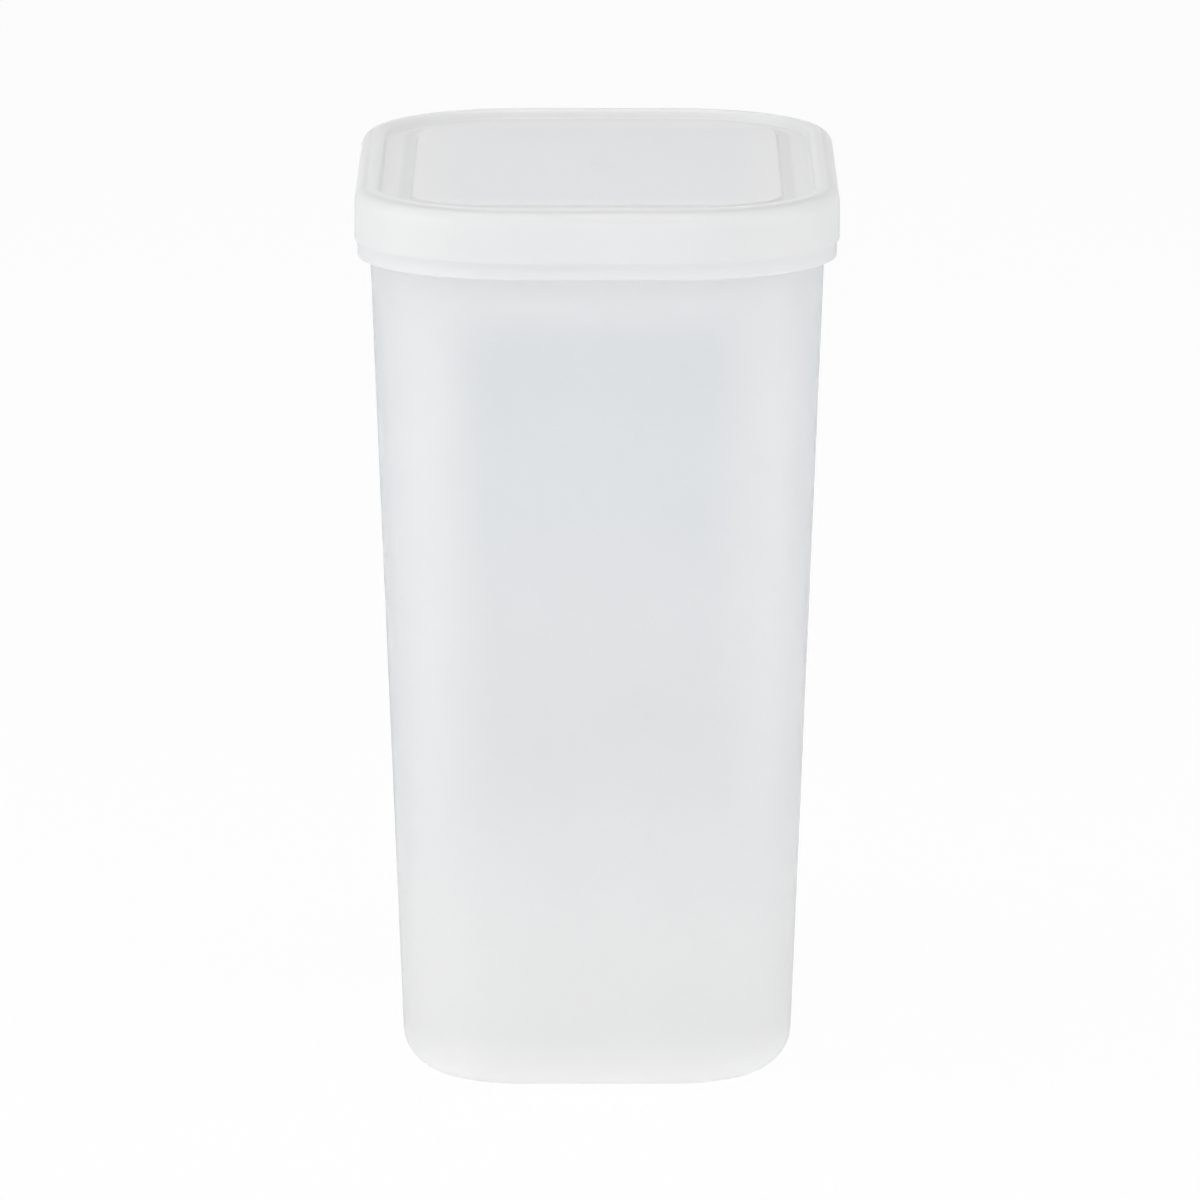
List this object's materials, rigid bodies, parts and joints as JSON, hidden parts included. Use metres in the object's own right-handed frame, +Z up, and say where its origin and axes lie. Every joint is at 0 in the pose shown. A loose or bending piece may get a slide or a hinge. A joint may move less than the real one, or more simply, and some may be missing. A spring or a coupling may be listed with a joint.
{
  "type": "powder storage container",
  "caption": "Tall tapered translucent keeper with a rounded rectangular plan, a flange under the rim and a push-on lid that lifts off, for flour, sugar and other dry powders.",
  "frame": {"origin": "middle of the base, on the plane that it stands on", "axes": "+Z up, narrow front towards -Y, width along X and depth along Y"},
  "size_m": [0.1, 0.144, 0.186],
  "materials": {
    "frosted_polypropylene": "natural translucent polypropylene, fine satin texture",
    "milky_polyethylene": "soft milky translucent polyethylene, waxy satin"
  },
  "bodies": {
    "container": {"container": "frosted_polypropylene"},
    "lid": {"lid": "milky_polyethylene"}
  },
  "joints": [
    {"name": "lid_lift", "type": "slide", "parent": "container", "child": "lid", "axis": [0, 0, 1], "range_m": [0, 0.12]}
  ]
}
